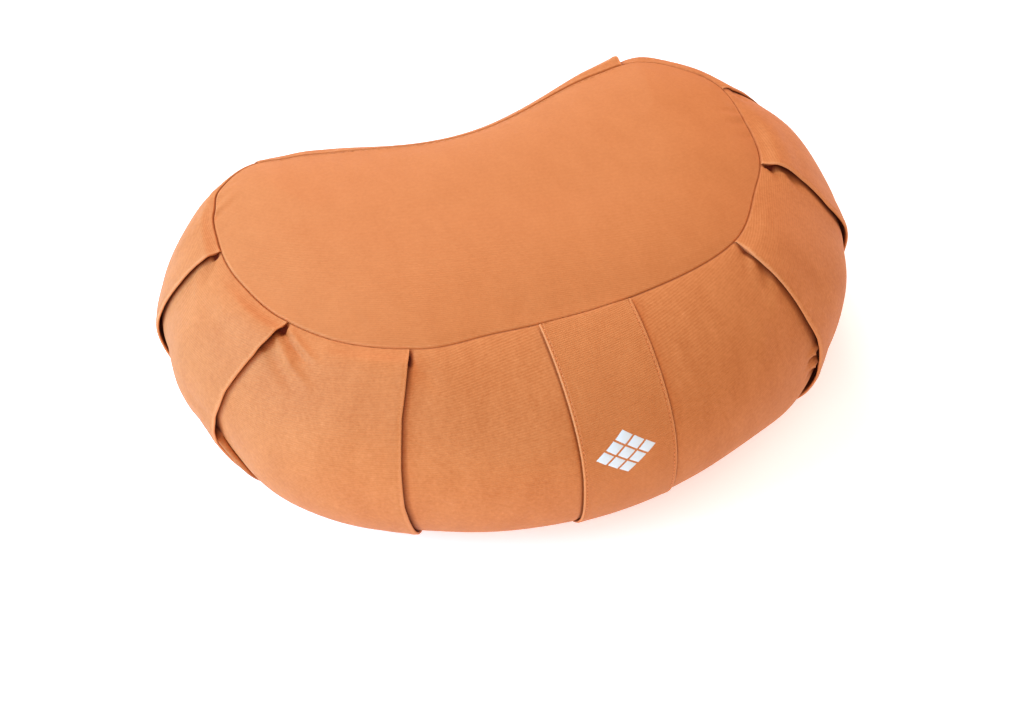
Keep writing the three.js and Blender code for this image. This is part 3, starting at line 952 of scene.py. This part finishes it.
class CUSHION_OT_top_panel(bpy.types.Operator):
    """The crowned crescent panel on top"""

    bl_idname = "cushion.top_panel"
    bl_label = "Top panel"

    def execute(self, context):
        sizes = context.scene.cushion
        top = sizes.seam_top / MM
        angle = np.linspace(0, 2 * math.pi, 521)
        # Rings from the middle outwards, closer together towards the seam, then the rim turned in and fewer
        # rings for the underside, which nothing sees.
        shares = np.append(np.linspace(0, 0.93, 72) ** 0.7, [0.96, 0.972])
        face = [inside(angle, share, 0, top, stray=1) for share in shares]
        face = np.stack(face + [inside(angle, 1, inset, top, stray=1) for inset in (2.6, 1.9, 1.3)])
        risen = crown_share(face)
        rise = risen * sizes.crown / MM + lumps(face) * ease(risen / LUMPS_OVER)
        face[..., 2] += rise + panel_creases(face) * ease(risen / CREASES_OVER)
        turned = ((0.8, -0.1), (0.4, 0.4), (0.2, 1.1), (0.5, 1.9))
        rim = [inside(angle, 1, inset, top - drop, stray=1) for inset, drop in turned]
        under = face[::-9].copy()
        under[..., 2] -= sizes.cloth / MM
        points = np.concatenate([face, np.stack(rim), under])
        # Painted shade at the seam, as dark as the seam's painted shade at each place.
        painted_light = np.full(points.shape[:2], -SEAM_SHADE) * seam_value(angle, "deep")
        # The rim gets a painted highlight where it turns over, and the painted shade of the seam starts
        # softly behind it.
        painted_light[: len(face)] = 0
        painted_light[len(face) - 1 : len(face) + 1] = RIM_HIGHLIGHT
        painted_light[len(face) + 1] *= 0.3
        piece = bent_grid("crowned_top_panel", points, points[..., :2], {"painted_light": painted_light})
        twill = brushed_twill("Brushed cotton twill, top", sizes.cloth_colour, turn=20, cloudy=0.7)
        finish_piece(piece, twill, "top_cloth", "top_panel")
        return {"FINISHED"}


class CUSHION_OT_base_panel(bpy.types.Operator):
    """The flat crescent panel that the cushion rests on"""

    bl_idname = "cushion.base_panel"
    bl_label = "Base panel"

    def execute(self, context):
        sizes = context.scene.cushion
        bottom, cloth = sizes.seam_bottom / MM, sizes.cloth / MM
        angle = np.linspace(0, 2 * math.pi, 241)
        over = [inside(angle, share, FOOT_INSET, cloth) for share in (0, 0.35, 0.7)]
        # From the foot's upper edge out to the seam, round it and back to the foot's lower edge.
        section = (
            (FOOT_INSET, cloth),
            (12, 0.2 * bottom + cloth),
            (7, 0.62 * bottom + cloth),
            (3, bottom + cloth),
            (0.9, bottom + 0.8 * cloth),
            (0.6, bottom + 0.4 * cloth),
            (1.2, bottom),
            (3, bottom - 0.3),
            (7, 0.55 * bottom),
            (12, 0.12 * bottom),
            (FOOT_INSET, 0),
        )
        rim = [inside(angle, 1, inset, height) for inset, height in section]
        under = [inside(angle, share, FOOT_INSET, 0) for share in (0.85, 0.6, 0.3, 0)]
        points = np.stack(over + rim + under)
        piece = bent_grid("flat_base_panel", points, points[..., :2])
        twill = brushed_twill("Brushed cotton twill, base", sizes.cloth_colour, turn=-15)
        finish_piece(piece, twill, "base_cloth", "bottom_panel")
        return {"FINISHED"}


def strap_face(side, down, lift):
    """Points at millimetres across the strap from its middle, and a lift off the band's face there."""
    belly = bpy.context.scene.cushion.belly / MM
    here = 0 * side + down
    spread, lean = strap_lie(here)
    stand = STRAP_STAND + (belly - PRESS + STRAP_SLACK) * np.sin(math.pi * here)
    return band_face((side - lean) / spread, here, lift + stand)


def strap_profile():
    """The strap's section, doubled cloth with a line of stitching drawn in near each folded edge, as
    distances across and up, with the painted highlight or shade of each point."""
    half, thick = half_strap(), bpy.context.scene.cushion.strap_thickness / MM
    bend = thick / 2
    # Points lie evenly across the middle and close together towards each edge.
    steps = np.array([0, 0.3, 0.55, 0.8, 1.0, 1.2, 1.4, 1.7, 2.1, 2.6, 3.2, 4.2, 5.6])
    right = (half - bend - steps)[::-1]
    side = np.concatenate([-right[::-1], np.linspace(-half + 8.4, half - 8.4, 17), right])
    edge = half - np.abs(side)
    # The stitching draws in a groove beside the edge, and the cloth inside it is a little thinner. The edge
    # has a painted highlight and the groove painted shade.
    upper = thick - STITCH_DRAWN * hump(edge - STITCH_INSET, 0.4) - 0.2 * ease((edge - STITCH_INSET) / 3)
    painted_shading = 0.75 * hump(edge, 1.0) - 0.22 * hump(edge - STITCH_INSET, 0.35)
    # The folded edge has a painted highlight on its upper half and painted shade on its lower half, and the
    # underside has painted shade.
    turns = np.radians(np.linspace(78, -82, 9))
    turned = [(bend * math.cos(t), bend * (1 + math.sin(t)), 0.8 if t > 0 else -0.7) for t in turns]
    turned = [(half - bend + across, lift, painted_light_value) for across, lift, painted_light_value in turned]
    lower = [(across, 0.0, -0.9) for across in np.linspace(half - bend, -half + bend, 16)]
    ring = [*zip(side, upper, painted_shading), *turned, *lower]
    ring += [(-across, lift, painted_light_value) for across, lift, painted_light_value in reversed(turned)]
    return np.array(ring + ring[:1])


class CUSHION_OT_carry_strap(bpy.types.Operator):
    """The carrying strap over the front"""

    bl_idname = "cushion.carry_strap"
    bl_label = "Carrying strap"

    def execute(self, context):
        sizes = context.scene.cushion
        ring = strap_profile()
        rows = np.clip(height_shares(150), STRAP_END, 1 - STRAP_END)
        across, up = (np.broadcast_to(values, (len(rows), len(ring))) for values in ring.T[:2])
        points = strap_face(across, rows[:, None], up)
        ends = [np.repeat(points[i].mean(0)[None, None], len(ring), axis=1) for i in (0, -1)]
        points = np.concatenate([ends[0], points, ends[1]])
        length = np.append(0, np.cumsum(np.linalg.norm(np.diff(points.mean(1), axis=0), axis=-1)))
        run = np.append(0, np.cumsum(np.hypot(*np.diff(ring[:, :2], axis=0).T)))
        cloth_uv = np.stack(np.meshgrid(run, length), -1)
        painted_light = np.broadcast_to(ring[:, 2], points.shape[:2])
        piece = bent_grid("carrying_strap", points, cloth_uv, {"painted_light": painted_light})
        twill = brushed_twill("Doubled cotton twill", sizes.cloth_colour, rib=1.0)
        finish_piece(piece, twill, "strap_cloth", "carry_strap")
        return {"FINISHED"}


class CUSHION_OT_edge_stitches(bpy.types.Operator):
    """The stitches along the strap's edges"""

    bl_idname = "cushion.edge_stitches"
    bl_label = "Edge stitches"

    def execute(self, context):
        sizes = context.scene.cushion
        thick = sizes.strap_thickness / MM
        fine = np.linspace(0.004, 0.996, 500)
        line = strap_face(0 * fine, fine, thick)
        run = np.append(0, np.cumsum(np.linalg.norm(np.diff(line, axis=0), axis=-1)))
        bm = bmesh.new()
        for across in (-half_strap() + STITCH_INSET, half_strap() - STITCH_INSET):
            for at in np.arange(2, run[-1] - 2, STITCH_PITCH):
                made = bmesh.ops.create_uvsphere(bm, u_segments=6, v_segments=4, radius=1.0)
                x, y, z = np.array([vert.co for vert in made["verts"]]).T
                down = np.interp(at + z * STITCH_PITCH * STITCH_LONG, run, fine)
                lift = thick - 0.8 * STITCH_DRAWN + y * STITCH_THICK
                for vert, point in zip(made["verts"], strap_face(across + x * STITCH_WIDE, down, lift)):
                    vert.co = Vector(point * MM)
        bmesh.ops.recalc_face_normals(bm, faces=bm.faces)
        piece = smooth_object("edge_stitches", bm)
        # Sewing thread, a little paler than the cloth, as its plies catch the light.
        thread = plain_material(
            "Spun cotton sewing thread", {"Base Color": tinted(sizes.cloth_colour, 1.25), "Roughness": 0.6}
        )
        finish_piece(piece, thread, "strap_cloth")
        return {"FINISHED"}


class CUSHION_OT_strap_mark(bpy.types.Operator):
    """A small stitched lattice of lozenges on the strap"""

    bl_idname = "cushion.strap_mark"
    bl_label = "Strap mark"

    def execute(self, context):
        sizes = context.scene.cushion
        thick = sizes.strap_thickness / MM
        bm = bmesh.new()
        for step, count in MARK_ROWS:
            for n in range(count):
                made = bmesh.ops.create_grid(bm, x_segments=6, y_segments=6, size=0.5)
                x, y = 2 * np.array([vert.co for vert in made["verts"]]).T[:2]
                side = MARK_SIDE + (n - (count - 1) / 2) * MARK_ACROSS + LOZENGE * (x + y) / 2
                fall = step * MARK_DOWN + LOZENGE * (x - y) / 2
                dome = MARK_DOME * (1 - np.maximum(np.abs(x), np.abs(y)) ** 4)
                place = strap_face(side, MARK_PLACE + fall / BAND_RUN, thick - MARK_SINK + dome)
                for vert, point in zip(made["verts"], place):
                    vert.co = Vector(point * MM)
        piece = smooth_object("strap_mark", bm)
        # Satin stitch in pale thread, which stays matt at this size.
        thread = plain_material(
            "Satin-stitched cotton thread", {"Base Color": tinted(sizes.mark_colour, 1), "Roughness": 0.6}
        )
        finish_piece(piece, thread, "strap_cloth")
        return {"FINISHED"}


def direction(turn, rise):
    """The direction at a turn round the cushion from its front, towards +X, and at a rise above the
    floor."""
    return Vector((math.sin(turn) * math.cos(rise), -math.cos(turn) * math.cos(rise), math.sin(rise)))


def aimed(name, data, place, back):
    """An object of the scene at a place, which faces against the direction back."""
    made = bpy.data.objects.new(name, data)
    made.location = place
    made.rotation_euler = (-back).to_track_quat("-Z", "Y").to_euler()
    bpy.context.scene.collection.objects.link(made)
    return made


class CUSHION_OT_stage(bpy.types.Operator):
    """A pale floor, soft studio light and the camera"""

    bl_idname = "cushion.stage"
    bl_label = "Stage"

    def execute(self, context):
        scene = context.scene
        sizes = scene.cushion
        scene.view_settings.view_transform = "Standard"
        bm = bmesh.new()
        bmesh.ops.create_grid(bm, x_segments=1, y_segments=1, size=FLOOR_HALF)
        floor = smooth_object("floor", bm)
        # A sheet of white acrylic lit from below, which drowns all but the nearest shade.
        acrylic = plain_material(
            "Back-lit white acrylic",
            {
                "Base Color": tinted(sizes.floor_colour, 1),
                "Roughness": 0.95,
                "Specular IOR Level": 0.0,
                "Emission Color": (1, 1, 1, 1),
                "Emission Strength": 0.4,
            },
        )
        floor.data.materials.append(acrylic)
        sky = bpy.data.worlds.new("Soft studio")
        sky.use_nodes = True
        sky.node_tree.nodes["Background"].inputs["Color"].default_value = (1, 1, 1, 1)
        sky.node_tree.nodes["Background"].inputs["Strength"].default_value = SKY_STRENGTH
        scene.world = sky
        for row in LAMPS:
            light = bpy.data.lights.new(row["name"], "AREA")
            light.size = LAMP_SIZE
            light.energy = row["power"]
            light.color = linear(row["colour"])
            back = direction(math.radians(row["turn"]), math.radians(row["rise"]))
            aimed(row["name"], light, LAMP_DISTANCE * back, back)
        back = direction(sizes.view_azimuth, sizes.view_elevation)
        aim = MM * Vector((AIM[0] + CENTRE_X, AIM[1] + CENTRE_Y, AIM[2]))
        camera_data = bpy.data.cameras.new("camera")
        camera_data.sensor_width = SENSOR
        camera_data.lens = LENS
        scene.camera = aimed("camera", camera_data, aim + back * sizes.view_distance, back)
        return {"FINISHED"}


class CUSHION_PT_panel(bpy.types.Panel):
    """The cushion's sizes, colours and pieces"""

    bl_idname = "CUSHION_PT_panel"
    bl_label = "Crescent cushion"
    bl_space_type = "VIEW_3D"
    bl_region_type = "UI"
    bl_category = "Cushion"

    def draw(self, context):
        for key in CushionSizes.__annotations__:
            self.layout.prop(context.scene.cushion, key)
        for operator in OPERATORS:
            self.layout.operator(operator.bl_idname)


OPERATORS = (
    CUSHION_OT_stage,
    CUSHION_OT_side_band,
    CUSHION_OT_top_panel,
    CUSHION_OT_base_panel,
    CUSHION_OT_carry_strap,
    CUSHION_OT_edge_stitches,
    CUSHION_OT_strap_mark,
)


def register():
    for made in (CushionSizes, *OPERATORS, CUSHION_PT_panel):
        bpy.utils.register_class(made)
    bpy.types.Scene.cushion = bpy.props.PointerProperty(type=CushionSizes)


def unregister():
    del bpy.types.Scene.cushion
    for made in reversed((CushionSizes, *OPERATORS, CUSHION_PT_panel)):
        bpy.utils.unregister_class(made)


def main():
    register()
    bpy.ops.cushion.stage()
    bpy.ops.cushion.side_band()
    bpy.ops.cushion.top_panel()
    bpy.ops.cushion.base_panel()
    bpy.ops.cushion.carry_strap()
    bpy.ops.cushion.edge_stitches()
    bpy.ops.cushion.strap_mark()


if __name__ == "__main__":
    main()
